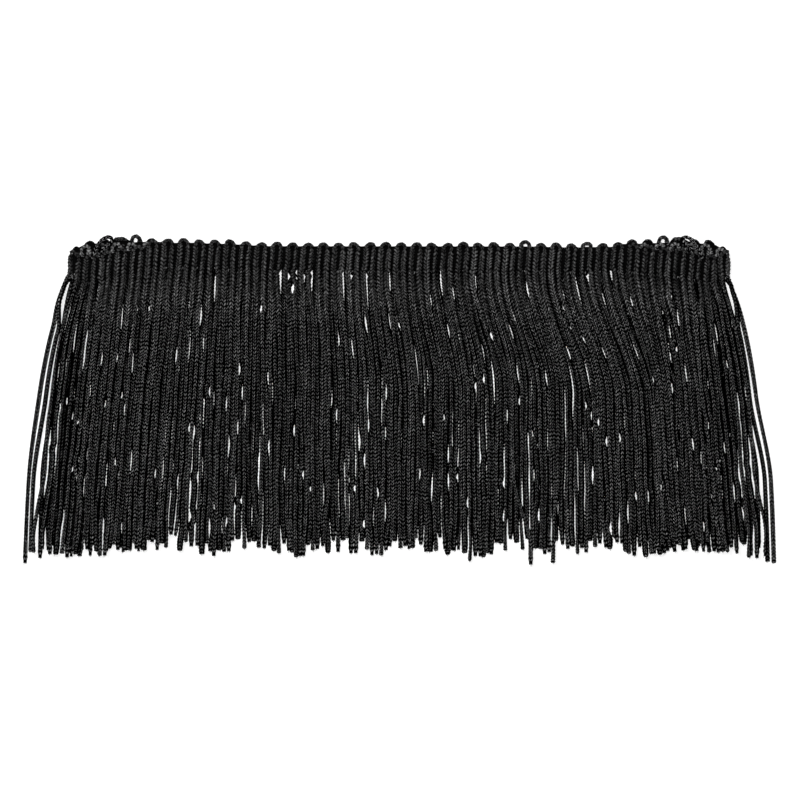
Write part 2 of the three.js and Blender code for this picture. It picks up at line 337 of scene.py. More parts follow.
# The filaments of a cut tip: the spread of their starts, aims and bends, and their taper along
# their length
FIBRES_PER_TIP = 4
FIBRE_LENGTH = (0.4, 1.3)
FIBRE_RADIUS = 0.07
FIBRE_SIDES = 3
FIBRE_SPREAD = (0.35, 0, 0.28)
FIBRE_AIM = (0.22, 0.066, 0.11)
FIBRE_BEND = (0.25, 0, 0.1)
FIBRE_PLACES = np.array([-0.4, 0.3, 0.7, 1.0])
FIBRE_TAPER = np.array([1, 1, 0.7, 0.2])

# The yarn's finish, with painted shade in the crevices between legs, along the groove and at the edges,
# and painted highlights on the legs; where there are two depths of relief and shade, or two strengths,
# they are for loose and for taut yarn
YARN_GRAIN = (1.2, 2.2, 1.0)
TONE_GRAIN = (0.3, 0.15, 1.0)
LOOSE_LEG = (0.5, 0.95)
TAUT_LEG = 0.35
GROOVE = (0.0, 0.35)
GROOVE_RELIEF_AND_SHADE = (0.85, 0.4)
EDGE = (0.45, 0.9)
EDGE_RELIEF_AND_SHADE = (1.0, 0.2)
GRAIN_DEPTH = 1.2
LIT_FROM = 0.15
LIT_TO = (0.7, 0.95)
GLINT = (0.52, 0.7)
GLINT_BASE = 0.62
GLINT_STRENGTH = (2.2, 0.4)
TONE_DRIFT = (0.42, 0.98)
YARN_SHADED_COLOUR = (0.002, 0.002, 0.002)
YARN_LIT_COLOUR = (0.264, 0.264, 0.266)
YARN_ROUGHNESS = (0.3, 0.5)
YARN_SHEEN = 0.6
BUMP = 0.8
BUMP_HEIGHT = 0.3
GRAIN_BUMP = 0.2
# Colour of the painted shade in the crevices
CREVICE_SHADE = (0.0005, 0.0005, 0.0005)
CREVICE_ROUGHNESS = 0.9

# Numbers of a Mix node's colour sockets: the two colours, and the mixed one
MIX_LOW = 6
MIX_HIGH = 7
MIXED = 2

# The ground's finish: black, painted darker than the yarn as shade between and under the ribs
GROUND_GRAIN = (2.0, 3.0, 5.0)
GROUND_DARK = (0.0004, 0.0004, 0.0004)
GROUND_BRIGHT = (0.003, 0.003, 0.003)
GROUND_ROUGHNESS = (0.8, 0.9)
GROUND_SHEEN = 0.02

# Table, light and camera, in metres
WHITE = (1, 1, 1, 1)
TABLE_SIZE = 8
TABLE_COLOUR = (0.4, 0.4, 0.4)
TABLE_ROUGHNESS = 0.9
TABLE_GLOW = 0.8
WORLD_STRENGTH = 0.4
KEY_PLACE = (-0.45, 0.6, 1.7)
KEY_SIZE = 0.6
KEY_POWER = 26
CAMERA_HEIGHT = 2.0
FRAME_WIDTH = 0.392
FRAME_CENTRE = (0.00025, -0.0005)
SENSOR = 36.0
CAMERA_CLIP = (0.05, 50)


def eased(place, low, high):
    """A smooth step from 0 at the low place to 1 at the high one."""
    share = np.clip((place - low) / (high - low), 0.0, 1.0)
    return share * share * (3 - 2 * share)


def blend(low, high, share):
    return low + (high - low) * share


def table_at(table, place):
    """Value of a table at a place, eased between its rows and level past its ends."""
    at, value = np.array(table, float).T
    place = np.clip(place, at[0], at[-1])
    row = np.clip(np.searchsorted(at, place) - 1, 0, len(at) - 2)
    return blend(value[row], value[row + 1], eased(place, at[row], at[row + 1]))


def scatter(cord, purpose):
    """A fixed scatter from 0 to 1 for a cord and a purpose."""
    wave = math.sin(cord * CORD_STEP + purpose * PURPOSE_STEP) * SCATTER_HEIGHT
    return wave - math.floor(wave)


def unit(vectors):
    return vectors / np.linalg.norm(vectors, axis=-1, keepdims=True)


def spline(values, shares):
    """A smooth curve through values at whole shares."""
    padded = np.concatenate([values[:1], values, values[-1:]])
    low = np.minimum(shares.astype(int), len(values) - 2)
    t = shares - low
    a, b, c, d = (padded[low + k] for k in range(4))
    return b + t / 2 * (c - a + t * (2 * a - 5 * b + 4 * c - d + t * (3 * (b - c) + d - a)))


# The band's lie


def band_point(along, out, up):
    """Points on the band and its face normals: out from its middle plane, up from the heading's foot."""
    along, out, up = np.broadcast_arrays(*(np.asarray(v, float) for v in (along, out, up)))
    side = np.where(along < 0, -1.0, 1.0)
    left = np.abs(along)
    x, slope = np.zeros_like(left), np.zeros_like(left)
    z = np.full_like(left, BAND_THICK / 2)
    for length, turn in RUNS:
        step = np.minimum(left, length)
        half = turn * step / length / 2
        chord = step * np.sinc(half / np.pi)
        x = x + chord * np.cos(slope + half)
        z = z + chord * np.sin(slope + half)
        slope = slope + 2 * half
        left = left - step
    y = HEADING_Y + table_at(SLIPS, along) + up
    normal = np.stack([-side * np.sin(slope), np.zeros_like(x), np.cos(slope)], -1)
    return np.stack([side * x, y, z], -1) + out[..., None] * normal, normal


def rib_lean(along):
    """Sideways lean of the ribs up to their picots: to the right, but inwards at the right-hand fold."""
    return RIB_LEAN * (1 - 2 * eased(along, *LEAN_TURNS))


def picot_rise(along):
    """Height of the scalloped top edge: the fold takes up one rib, so its picots change places there."""
    underneath = np.abs(along) > TO_FOLD + FOLD_LENGTH / 2
    along = along - rib_lean(along)
    pair = (along + np.where(underneath, RIB_PITCH, 0)) / (2 * RIB_PITCH)
    rise = PICOT_RISE * (1 - eased(np.abs(pair - np.round(pair)), *PICOT_SHOULDER))
    for place, picot in LOOSE_PICOTS.items():
        away = np.abs(along - place)
        filled = picot.fill * np.clip(1 - (2 * away / picot.width) ** 2, 0, 1)
        rise = np.where(away < RIB_PITCH, filled, np.maximum(rise, filled))
    return rise


# The cords' lie


def leant(fan, below, length=FAN_LENGTH):
    """Sideways lean of a cord: a short length puts most of it near the root."""
    return fan * (1 - np.exp(-below / length)) / (1 - math.exp(-MEAN_DROP / length))


def waver(cord, below, purpose, size):
    """A small unevenness that grows from nothing at the root."""
    total = 0
    for k, length in enumerate(WAVER_WAVES):
        wave = length * blend(*WAVER_SPREAD, scatter(cord, purpose + 2 * k))
        phase = scatter(cord, purpose + 2 * k + 1)
        total = total + np.sin(2 * np.pi * (below / wave + phase)) * (k + 1) / len(WAVER_WAVES)
    return size * total * eased(below, 0, WAVER_START)


def layer_of(half):
    """How far out from the band's middle plane a cord lies."""
    return (1 if half % 2 else -1) * (BAND_THICK - CORD_THICK) / 2


def root_of(half):
    """Where a cord leaves the strip, and which way it faces there."""
    (x, top, z), normal = band_point(half * HALF_PITCH, layer_of(half), STRIP_FOOT)
    slip = top - STRIP_FOOT - HEADING_Y
    return Root(x, top, z, slip, normal, half in FOLD_CORDS, normal[2] < 0)


def closing(half, below):
    """Sideways move of a cord that closes up where its neighbour has strayed."""
    beside = 2 if half % 2 else 1
    side = (half + beside in STRAYS) - (half - beside in STRAYS)
    return side * STRAY_CLOSING * eased(below, *STRAY_CLOSED)


def face_line(half):
    """Sideways place of a face cord: it fans, is brushed over and wavers."""
    root = root_of(half)
    away = abs(root.x)
    outwards = math.copysign(1, half)
    fan = table_at(RETURN_FAN if root.returned else FACE_FAN, away)
    length = blend(STEADY_LENGTH, FAN_LENGTH, eased(away, *STEADY_TO))
    late = table_at(LATE_FAN, away)
    sweep = 0 if root.returned else table_at(SWEEPS, root.x)
    wave, phase = blend(*SWAY_WAVE, scatter(half, FOR_SWAY_WAVE)), scatter(half, FOR_SWAY_PHASE)
    sway = SWAY * (1 - eased(away, *CALM))
    clump = CLUMP * math.sin(2 * math.pi * root.x / CLUMP_PITCH + math.sin(root.x / CLUMP_PITCH))

    def place(below):
        swayed = sway * np.sin(2 * np.pi * (phase + below / wave))
        moved = eased(below, 0, SWEEP_LENGTH) * (sweep + swayed)
        gathered = clump * eased(below, CLUMP_FROM, MEAN_DROP)
        lean = leant(fan, below, length) + late * eased(below, *LATE_LEAN)
        strayed = closing(half, below) + waver(half, below, FOR_WAVER, WAVER)
        return root.x + outwards * lean + moved - gathered + strayed

    return place


def back_line(half):
    """Sideways place of a back cord: it lies in the gap between the two face cords beside it."""
    before, after = face_line(half - 1), face_line(half + 1)

    def place(below):
        middle = (before(below) + after(below)) / 2
        return middle + closing(half, below) + waver(half, below, FOR_WAVER, WAVER)

    return place


def cord_line(half):
    return face_line(half) if half % 2 else back_line(half)


def slit_beside(half, depth, reach, opening):
    """A slit between a cord and the next one, by its depth below the level of an unslipped root."""
    sides = [(cord_line(cord), root_of(cord).slip) for cord in (half, half + 1)]
    return Slit(lambda level: sum(line(level + slip) for line, slip in sides) / 2, depth, reach, opening)


def open_slits():
    """Slits placed in the upper skirt, and slits scattered over it all, more of them lower down."""
    rng = np.random.default_rng(SEED)
    opened = [slit_beside(half, *sizes) for half, sizes in UPPER_SLITS.items()]
    at_ends = rng.choice([-1, 1], END_SLITS) * rng.uniform(*END_CORDS, END_SLITS)
    for place in [*rng.uniform(-SLIT_CORDS, SLIT_CORDS, SLITS), *at_ends]:
        half = round(place)
        depth, reach, opening = rng.uniform(size=3) ** SLIT_BIAS
        sizes = blend(*SLIT_DEPTH, depth), blend(*SLIT_REACH, reach), blend(*SLIT_OPENING, opening)
        if half not in STRAYS and half + 1 not in STRAYS:
            opened.append(slit_beside(half, *sizes))
    return opened


slits = open_slits()
slit_depths = np.array([slit.depth for slit in slits])
slit_places = np.array([slit.line(slit.depth) for slit in slits])


def width_of(half):
    """How wide a cord lies in the skirt, as a share of its own width."""
    if half in FOLD_CORDS:
        return FOLD_WIDTH
    return FACE_WIDTH if half % 2 else BACK_WIDTH


def tautness(half, below):
    """How tightly a cord is held: a face cord keeps the heading's stretch for a while."""
    fade = blend(TAUT_FADE, FOLD_FADE, eased(abs(half), *FADING))
    return (1 - eased(below, 0, fade)) * (half % 2)


def root_lean(half, below):
    """Sideways lean, near its root alone, of a cord that leaves from a fold."""
    lean = FOLD_CORDS[half].at_root if half in FOLD_CORDS else 0
    grown, faded = eased(below, *ROOT_LEAN_GROWS), eased(below, *ROOT_LEAN_FADES)
    return math.copysign(1, half) * lean * grown * (1 - faded)


def parted_line(half):
    """Sideways place of a cord that lies clear of the slits that it would cover."""
    line, slip = cord_line(half), root_of(half).slip
    aside = line(slit_depths + slip) - slit_places
    near = np.flatnonzero(np.abs(aside) < SLIT_SIDES)

    def place(below):
        x, level = line(below), below - slip
        for slit, off in [(slits[k], aside[k]) for k in near]:
            wide = blend(width_of(half), RIB_WIDTH, tautness(half, slit.depth + slip))
            side, clear = math.copysign(1, off), (SEEN_WIDTH * wide + slit.opening) / 2
            reach = slit.reach * max(1, (clear - abs(off)) / SLIT_PUSH)
            covered = np.maximum(clear - side * (x - slit.line(level)), 0)
            x = x + side * covered * (1 - eased(np.abs(level - slit.depth), 0, reach))
        return x

    return place


def skirt_cord(half):
    """A cord's line below the strip, as a function of the distance down it, and its length."""
    root = root_of(half)
    sideways = parted_line(half)
    stray = STRAYS.get(half, Stray(0, 0))

    def line(below):
        below = np.asarray(below, float)
        if root.in_fold:
            fold = FOLD_CORDS[half]
            lean = leant(fold.fan, below) + fold.late * eased(below, *FOLD_LATE_LEAN)
            x = root.x + math.copysign(1, half) * lean + root_lean(half, below)
            z = blend(root.z, CORD_THICK / 2, eased(below, fold.start, fold.end))
        else:
            x = sideways(below) + stray.aside * eased(below, STRAY_FROM, MEAN_DROP)
            lift = STRAY_LIFT if stray.aside else 0
            z = root.z + lift * eased(below, STRAY_FROM / 2, STRAY_FROM)
        return np.stack([x, root.top - below, np.broadcast_to(z, x.shape)], -1)

    shorter = 0 if abs(half) == OUTERMOST else UNEVEN * scatter(half, FOR_CUT) ** UNEVEN_BIAS
    length = float(table_at(HEM, line(MEAN_DROP)[0])) + root.slip + stray.longer - shorter
    return line, length


# Meshes


class Weave:
    """Points and faces of one joined mesh, with the stitch coordinates that its finish reads."""

    def __init__(self, name):
        self.name = name
        self.points, self.faces, self.ends, self.stitches, self.tauts = [], [], [], [], []
        self.count = 0

    def rings(self, rings, across, along, tone, taut=0):
        """A closed tube through rings of equal size."""
        rows, size = rings.shape[:2]
        start = self.count + np.arange(rows - 1)[:, None] * size
        a = start + np.arange(size)
        b = start + (np.arange(size) + 1) % size
        self.faces.append(np.stack([a, b, b + size, a + size], -1).reshape(-1, 4))
        first = self.count + np.arange(size)
        self.ends += [first[::-1].tolist(), (first + (rows - 1) * size).tolist()]
        self.points.append(rings.reshape(-1, 3))
        along = np.asarray(along)[..., None]
        *stitch, taut, _ = np.broadcast_arrays(across, along, tone, taut, rings[..., 0])
        self.stitches.append(np.stack(stitch, -1).reshape(-1, 3))
        self.tauts.append(taut.ravel())
        self.count += rows * size

    def mesh(self):
        """The joined mesh, with its stitch coordinates and tautness."""
        faces = np.concatenate(self.faces)
        corners = np.concatenate([faces.ravel(), np.array(sum(self.ends, []), int)])
        sizes = np.array([4] * len(faces) + [len(end) for end in self.ends])
        mesh = bpy.data.meshes.new(self.name)
        mesh.vertices.add(self.count)
        mesh.vertices.foreach_set("co", np.concatenate(self.points).ravel() * MM)
        mesh.loops.add(len(corners))
        mesh.loops.foreach_set("vertex_index", corners)
        mesh.polygons.add(len(sizes))
        mesh.polygons.foreach_set("loop_start", np.concatenate([[0], np.cumsum(sizes)[:-1]]))
        mesh.polygons.foreach_set("use_smooth", np.ones(len(sizes), bool))
        mesh.update(calc_edges=True)
        mesh.validate()
        stitch = mesh.attributes.new("stitch", "FLOAT_VECTOR", "POINT")
        stitch.data.foreach_set("vector", np.concatenate(self.stitches).ravel())
        taut = mesh.attributes.new("taut", "FLOAT", "POINT")
        taut.data.foreach_set("value", np.concatenate(self.tauts).astype(float))
        return mesh

    def finish(self, material, node):
        """The finished piece, which stands for a node of the solids."""
        mesh = self.mesh()
        mesh.materials.append(material)
        piece = bpy.data.objects.new(self.name, mesh)
        bpy.context.scene.collection.objects.link(piece)
        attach(piece, BODY)
        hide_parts(node)
        return piece


# Finishes


class Wire:
    """A socket in a finish; arithmetic on it adds Math nodes."""

    def __init__(self, finish, socket):
        self.finish, self.socket = finish, socket

    def maths(self, operation, *values):
        return self.finish.node("ShaderNodeMath", {"operation": operation}, dict(enumerate(values)))

    def __add__(self, other):
        return self.maths("ADD", self, other)

    def __sub__(self, other):
        return self.maths("SUBTRACT", self, other)

    def __rsub__(self, other):
        return self.maths("SUBTRACT", other, self)

    def __mul__(self, other):
        return self.maths("MULTIPLY", self, other)

    def __abs__(self):
        return self.maths("ABSOLUTE", self)

    __radd__ = __add__
    __rmul__ = __mul__

    def fraction(self):
        return self.maths("FRACT", self)

    def eased(self, low, high):
        settings = {"interpolation_type": "SMOOTHSTEP"}
        sockets = {"Value": self, "From Min": low, "From Max": high}
        return self.finish.node("ShaderNodeMapRange", settings, sockets)


class Finish:
    """One material and its nodes."""

    def __init__(self, name):
        self.material = bpy.data.materials.new(name)
        self.material.use_nodes = True
        self.tree = self.material.node_tree
        self.tree.nodes.clear()

    def node(self, kind, settings, sockets, output=0):
        """A node of a kind with its settings, then the values or links of its sockets."""
        made = self.tree.nodes.new(kind)
        for name, value in settings.items():
            setattr(made, name, value)
        for name, value in sockets.items():
            socket = made.inputs[name]
            if isinstance(value, Wire):
                self.tree.links.new(value.socket, socket)
            else:
                socket.default_value = value
        return Wire(self, made.outputs[output] if made.outputs else None)

    def attribute(self, name, output):
        return self.node("ShaderNodeAttribute", {"attribute_name": name}, {}, output)

    def part_of(self, vector, axis):
        return self.node("ShaderNodeSeparateXYZ", {}, {"Vector": vector}, axis)

    def noise(self, vector, scales, detail):
        stretched = self.node(
            "ShaderNodeVectorMath", {"operation": "MULTIPLY"}, {0: vector, 1: scales}
        )
        return self.node("ShaderNodeTexNoise", {}, {"Vector": stretched, "Scale": 1.0, "Detail": detail})

    def mix_colour(self, share, low, high):
        sockets = {"Factor": share, MIX_LOW: (*low, 1), MIX_HIGH: (*high, 1)}
        return self.node("ShaderNodeMix", {"data_type": "RGBA"}, sockets, MIXED)

    def principled(self, **sockets):
        named = {name.replace("_", " "): value for name, value in sockets.items()}
        return self.node("ShaderNodeBsdfPrincipled", {}, named)

    def surface(self, shader):
        self.node("ShaderNodeOutputMaterial", {}, {"Surface": shader})
        return self.material


def yarn_finish():
    """Black filament yarn: plump slanting legs, painted shade in the crevices, groove and edges, painted
    highlights on the legs, and a tone that drifts between cords.
    """
    f = Finish("black_yarn")
    stitch, taut = f.attribute("stitch", "Vector"), f.attribute("taut", "Fac")
    across, along, tone = abs(f.part_of(stitch, 0)), f.part_of(stitch, 1), f.part_of(stitch, 2)
    fibre, drift = f.noise(stitch, YARN_GRAIN, detail=2.0), f.noise(stitch, TONE_GRAIN, detail=1.0)

    # The legs' relief, which the bump also reads, is the mask of painted shade: dark between the legs,
    # along the groove and at the edges
    crest = abs(along.fraction() - 0.5) * 2
    leg = blend(crest.eased(*LOOSE_LEG), blend(TAUT_LEG, 1, crest), taut)
    groove = 1 - blend(*GROOVE_RELIEF_AND_SHADE, taut) * (1 - across.eased(*GROOVE))
    edge = 1 - blend(*EDGE_RELIEF_AND_SHADE, taut) * across.eased(*EDGE)
    relief_and_shade = leg * groove * edge
    # Painted shade: where lit is low, the colour goes to the shaded colour and the crevice shader takes
    # over
    lit = (relief_and_shade + GRAIN_DEPTH * (fibre - 0.5)).eased(LIT_FROM, blend(*LIT_TO, taut))
    # Painted highlight: random glints that brighten the legs' colour
    glint = GLINT_BASE + blend(*GLINT_STRENGTH, taut) * fibre.eased(*GLINT)
    shade = lit * tone * glint * blend(*TONE_DRIFT, drift)

    height = relief_and_shade + GRAIN_BUMP * fibre
    sockets = {"Strength": BUMP, "Distance": BUMP_HEIGHT * MM, "Height": height}
    bump = f.node("ShaderNodeBump", {}, sockets)
    yarn = f.principled(
        Base_Color=f.mix_colour(shade, YARN_SHADED_COLOUR, YARN_LIT_COLOUR),
        Roughness=blend(*YARN_ROUGHNESS, drift),
        Specular_IOR_Level=YARN_SHEEN,
        Normal=bump,
    )
    # Painted shade: a dark shader without gloss for the crevices
    crevice_shade = f.principled(
        Base_Color=(*CREVICE_SHADE, 1), Roughness=CREVICE_ROUGHNESS, Specular_IOR_Level=0.0
    )
    return f.surface(f.node("ShaderNodeMixShader", {}, {0: lit * tone, 1: crevice_shade, 2: yarn}))


def ground_finish():
    """The heading's dull black ground and binding threads, painted darker than the yarn as shade between
    and under the ribs.
    """
    f = Finish("black_ground")
    grain = f.noise(f.attribute("stitch", "Vector"), GROUND_GRAIN, detail=3.0)
    shader = f.principled(
        Base_Color=f.mix_colour(grain, GROUND_DARK, GROUND_BRIGHT),
        Roughness=blend(*GROUND_ROUGHNESS, grain),
        Specular_IOR_Level=GROUND_SHEEN,
    )
    return f.surface(shader)


def table_finish():
    """A dull grey table with a white glow, so that it stays pale in shadow."""
    f = Finish("pale_table")
    shader = f.principled(
        Base_Color=(*TABLE_COLOUR, 1),
        Roughness=TABLE_ROUGHNESS,
        Specular_IOR_Level=0.0,
        Emission_Color=WHITE,
        Emission_Strength=TABLE_GLOW,
    )
    return f.surface(shader)


# Runs of a cord


def skirt_run(half):
    """A cord's free run from root to tip."""
    line, length = skirt_cord(half)
    root = root_of(half)
    below = np.linspace(0, length, int(length / STITCH))
    points = line(below)
    lifted = waver(half, below, FOR_LIFT, LIFT_WAVER)
    points[:, 2] += np.where(points[:, 2] < CORD_THICK, 0, lifted)
    flat = np.array([0, 0, -1.0 if root.returned else 1.0])
    facing = unit(blend(root.normal, flat, eased(below, 0, FLAT_FROM)[:, None]))
    taut = tautness(half, below)
    width = blend(TIP_WIDTH, width_of(half), eased(length - below, 0, TIP_LENGTH))
    return Run(points, facing, below, taut, np.zeros(len(below)), blend(width, RIB_WIDTH, taut))


def rib_run(half, spring, turn_width):
    """A cord's run up the band, from the strip's foot to the spring of its turn."""
    up = np.linspace(STRIP_FOOT, spring, RIB_STEPS)[1:]
    share = (up - STRIP_FOOT) / (spring - STRIP_FOOT)
    bow = RIB_BOW * (2 * scatter(half, FOR_BOW) - 1) * np.sin(math.pi * share)
    foot = half * HALF_PITCH
    along = foot + rib_lean(foot) * eased(share, 0, 1) + bow
    points, facing = band_point(along, layer_of(half), up)
    points[:, 0] += root_lean(half, STRIP_FOOT - up)
    taut = np.ones(len(up)) if half % 2 else eased(up, STRIP_FOOT, 0)
    turn = eased(up, spring - TURN_START, spring)
    width = blend(blend(width_of(half), RIB_WIDTH, taut), turn_width, turn)
    return Run(points, facing, np.zeros(len(up)), taut, turn, width)


def arch(ribs, on_face):
    """The turn of a cord over the band's top edge, from one rib to the next: along, up and width."""
    middle = sum(ribs) / 2 * HALF_PITCH
    half = (ribs[1] - ribs[0]) * HALF_PITCH / 2
    angle = np.linspace(math.pi, 0, TURN_STEPS)
    turn = np.sin(angle)
    loose = [picot for place, picot in LOOSE_PICOTS.items() if abs(place - middle) < HALF_PITCH]
    if loose and on_face:
        width, shift = LOOSE_WIDTH, 0
        spring = BAND_HEIGHT + LOOSE_SPRING
        height = loose[0].rise - LOOSE_SPRING - CORD_HALF_WIDTH * width
        swell = (loose[0].width / 2 - CORD_HALF_WIDTH * width - half) * turn ** 2
    else:
        width, shift = TURN_WIDTH, 2 * PICOT_UNEVEN * (2 * scatter(ribs[0], FOR_PICOT_SHIFT) - 1)
        uneven = PICOT_UNEVEN * (2 * scatter(ribs[0], FOR_PICOT_RISE) - 1)
        rise = PICOT_RISE + uneven if on_face else 0
        spring = BAND_HEIGHT + rise - CORD_HALF_WIDTH * width - half
        height, swell = half, 0
    along = middle + rib_lean(middle) + shift * turn + np.cos(angle) * (half + swell)
    return along, spring + height * turn, width


def turn_run(along, up, width, out):
    """A cord's run over the band's top edge."""
    points, facing = band_point(along[1:-1], out[1:-1], up[1:-1])
    flat = np.zeros(len(points))
    return Run(points, facing, flat, flat + 1, flat + 1, flat + width)


def joined(runs):
    return Run(*(np.concatenate(columns) for columns in zip(*runs)))


def turned_back(run):
    return Run(*(column[::-1] for column in run))


def evened(run, cord):
    """The same run at the steps of its stitches, which differ a little along the cord."""
    gaps = np.linalg.norm(np.diff(run.points, axis=0), axis=1)
    far = np.concatenate([[0], np.cumsum(gaps)])
    stitch = STITCH * blend(*STITCH_SPREAD, scatter(cord, FOR_STITCH))
    steps = np.linspace(0, far[-1], int(round(far[-1] / stitch * RINGS_PER_STITCH)) + 1)
    ends = np.clip(np.minimum(steps, far[-1] - steps) / STITCH, 0, 1)
    phase = STITCH_PHASES * scatter(cord, FOR_STITCH_PHASE)
    steps = steps + STITCH_WAVER * STITCH * ends * np.sin(steps / STITCH + phase)
    columns = np.column_stack(run).T
    table = np.column_stack([np.interp(steps, far, column) for column in columns])
    return Run(table[:, :3], unit(table[:, 3:6]), *table[:, 6:].T)


def whole_run(ribs, on_face):
    """The run of one length of cord: up from a tip, over the band's edge and down to the next tip."""
    spread = ribs if len(ribs) == 2 else (ribs[0], ribs[0] + 2)
    along, up, width = arch(spread, on_face)
    runs = [joined([turned_back(skirt_run(half)), rib_run(half, up[0], width)]) for half in ribs]
    if len(runs) == 2:
        lean = LOOSE_LEAN if width == LOOSE_WIDTH else 0
        out = (1 - lean * np.sin(np.linspace(0, math.pi, len(along)))) * layer_of(ribs[0])
        runs = [runs[0], turn_run(along, up, width, out), turned_back(runs[1])]
    return evened(joined(runs), ribs[0])


# Cords


def cord_rings(run, roll, phase):
    """Rings of a chain-knit cord along a run: two lobes with chevron stitches."""
    tangent = unit(np.gradient(run.points, axis=0))
    side = unit(np.cross(run.facing, tangent))
    face = np.cross(tangent, side)
    cos, sin = np.cos(roll)[:, None], np.sin(roll)[:, None]
    turned_side, turned_face = side * cos + face * sin, face * cos - side * sin
    across, out, depth = SECTION.T
    order = np.arange(len(phase))
    inside = np.clip(np.minimum(order, order[::-1]) / BLUNT_RINGS, 0, 1)
    crest = 0.5 + 0.5 * np.cos(2 * np.pi * phase)[:, None]
    taper = blend(TIP_TAPER, 1, eased(inside, 0, TAPER_TO))[:, None]
    swell = taper * (1 - (1 - VALLEY) * (1 - crest) * depth)
    wide = across * swell * CORD_HALF_WIDTH * run.width[:, None]
    thick = out * swell * CORD_HALF_THICK
    ahead = np.abs(across) * (inside * run.width * blend(CHEVRON, RIB_CHEVRON, run.taut))[:, None]
    rings = (
        run.points[:, None]
        + wide[..., None] * turned_side[:, None]
        + thick[..., None] * turned_face[:, None]
        + ahead[..., None] * tangent[:, None]
    )
    rings[..., 2] = np.maximum(rings[..., 2], TABLE_GAP)
    return rings


def cord_roll(run, chance):
    """Roll of a cord: to one side or the other on its rib, and turning slowly in the skirt."""
    turned = np.sin(2 * np.pi * (run.below / ROLL_WAVE + chance(FOR_ROLL_PHASE)))
    free = ROLL_LEAN * (2 * chance(FOR_ROLL_LEAN) - 1) + ROLL_TURN * turned
    rest = chance(FOR_RIB_ROLL)
    held = np.sign(rest - 0.5) * blend(*RIB_ROLL, np.abs(2 * rest - 1)) * (1 - run.turn)
    return blend(held, free, eased(run.below, 0, ROLL_LENGTH))


def cord_tone(run, chance, on_face):
    """Tone of a cord: darker where it is held on the heading; at the back, painted shade throughout,
    darkest near the root just below the heading.
    """
    tone = chance(FOR_TONE)
    if on_face:
        held = blend(blend(*FACE_TONE, tone), blend(*RIB_TONE, tone), run.taut)
        return held * blend(1, TURN_TONE, run.turn)
    # Painted shade: a back cord fades to dark towards its root under the heading
    shaded = np.where(run.below <= 0, SHADED_TONE, eased(run.below, *SHADED_LENGTH))
    return blend(*BACK_TONE_IN_SHADE, tone) * shaded


def lay_cord(ribs, heading, skirts):
    """One length of cord, shared out between the heading's mesh and the skirt's."""
    on_face = ribs[0] % 2 == 1
    run = whole_run(ribs, on_face)
    count = len(run.below)
    in_first = np.arange(count) < count / 2

    def chance(purpose):
        return np.where(in_first, scatter(ribs[0], purpose), scatter(ribs[-1], purpose))

    roll, tone = cord_roll(run, chance), cord_tone(run, chance, on_face)
    across = np.tile(SECTION[:, 0], (count, 1))
    # A back cord's painted shade at its edges reaches further in, where the face cords cover it
    if not on_face:
        roll, across = roll * BACK_ROLL, across / blend(BACK_UNSHADED_SHARE, 1, run.taut[:, None])
    phase = np.arange(count) / RINGS_PER_STITCH
    rings = cord_rings(run, roll, phase)
    along = phase + PATTERN_STEP * ribs[0]
    in_heading = run.below <= 0
    cuts = [0, *(np.flatnonzero(np.diff(in_heading)) + 1), count]
    for low, high in zip(cuts, cuts[1:]):
        owner = ribs[0] if in_first[low] else ribs[-1]
        weave = heading if in_heading[low] else skirts[owner < 0]
        span = slice(max(low - 1, 0), high)
        weave.rings(rings[span], across[span], along[span], tone[span, None], run.taut[span, None])


def lay_loop(points, tone, heading):
    """A loose loop of cord through a few points."""
    points = np.array(points)
    count = len(points)
    shares = np.linspace(0, count - 1, LOOP_STEPS * count)
    smooth = np.column_stack([spline(column, shares) for column in points.T])
    flat = np.zeros(len(smooth))
    facing = np.tile([0.0, 0.0, 1.0], (len(smooth), 1))
    run = evened(Run(smooth, facing, flat, flat, flat, flat + LOOP_WIDTH), 0)
    phase = np.arange(len(run.below)) / RINGS_PER_STITCH
    roll = LOOP_ROLL * np.sin(phase)
    heading.rings(cord_rings(run, roll, phase), SECTION[:, 0], phase, tone)


def face_pairs():
    """Ribs joined by each picot; the rib in the bend of each fold stands alone."""
    in_front = range(-LAST_FRONT_PICOT, LAST_FRONT_PICOT + 1, PICOT_STEP)
    front = [(middle - 1, middle + 1) for middle in in_front]
    underneath = range(FIRST_UNDER_PICOT, 2 * RIBS_EACH_WAY, PICOT_STEP)
    under = [(middle - 1, middle + 1) for middle in underneath]
    return front + under + [(-b, -a) for a, b in under] + [(BEND_RIB,), (-BEND_RIB,)]


def back_pairs():
    """Places joined by each turn at the back; the last one stands alone."""
    last = 2 * RIBS_EACH_WAY - 2
    return [(half, half + 2) for half in range(-last, last, PICOT_STEP)] + [(last,)]


def lay_cords():
    """All the cords: those of the heading, and the face and back cords of each side of the skirt."""
    heading = Weave("heading_cords")
    face = {left: Weave(f"face_cords_{'left' if left else 'right'}") for left in (True, False)}
    back = {left: Weave(f"back_cords_{'left' if left else 'right'}") for left in (True, False)}
    for ribs in face_pairs():
        lay_cord(ribs, heading, face)
    for ribs in back_pairs():
        lay_cord(ribs, heading, back)
    loop = np.array(LOOSE_LOOP)
    lay_loop(loop, LOOP_TONE, heading)
    lay_loop(loop * (-1, 1, 1) - (LOOP_SHIFT, 0, 0), LOOP_TONE, heading)
    return heading, [*face.values(), *back.values()]


# Ground, binding threads and cut tips


def along_band():
    """Even steps along the whole band."""
    count = 2 * RIBS_EACH_WAY * GROUND_STEPS
    return np.linspace(-RIBS_EACH_WAY, RIBS_EACH_WAY, count + 1) * RIB_PITCH


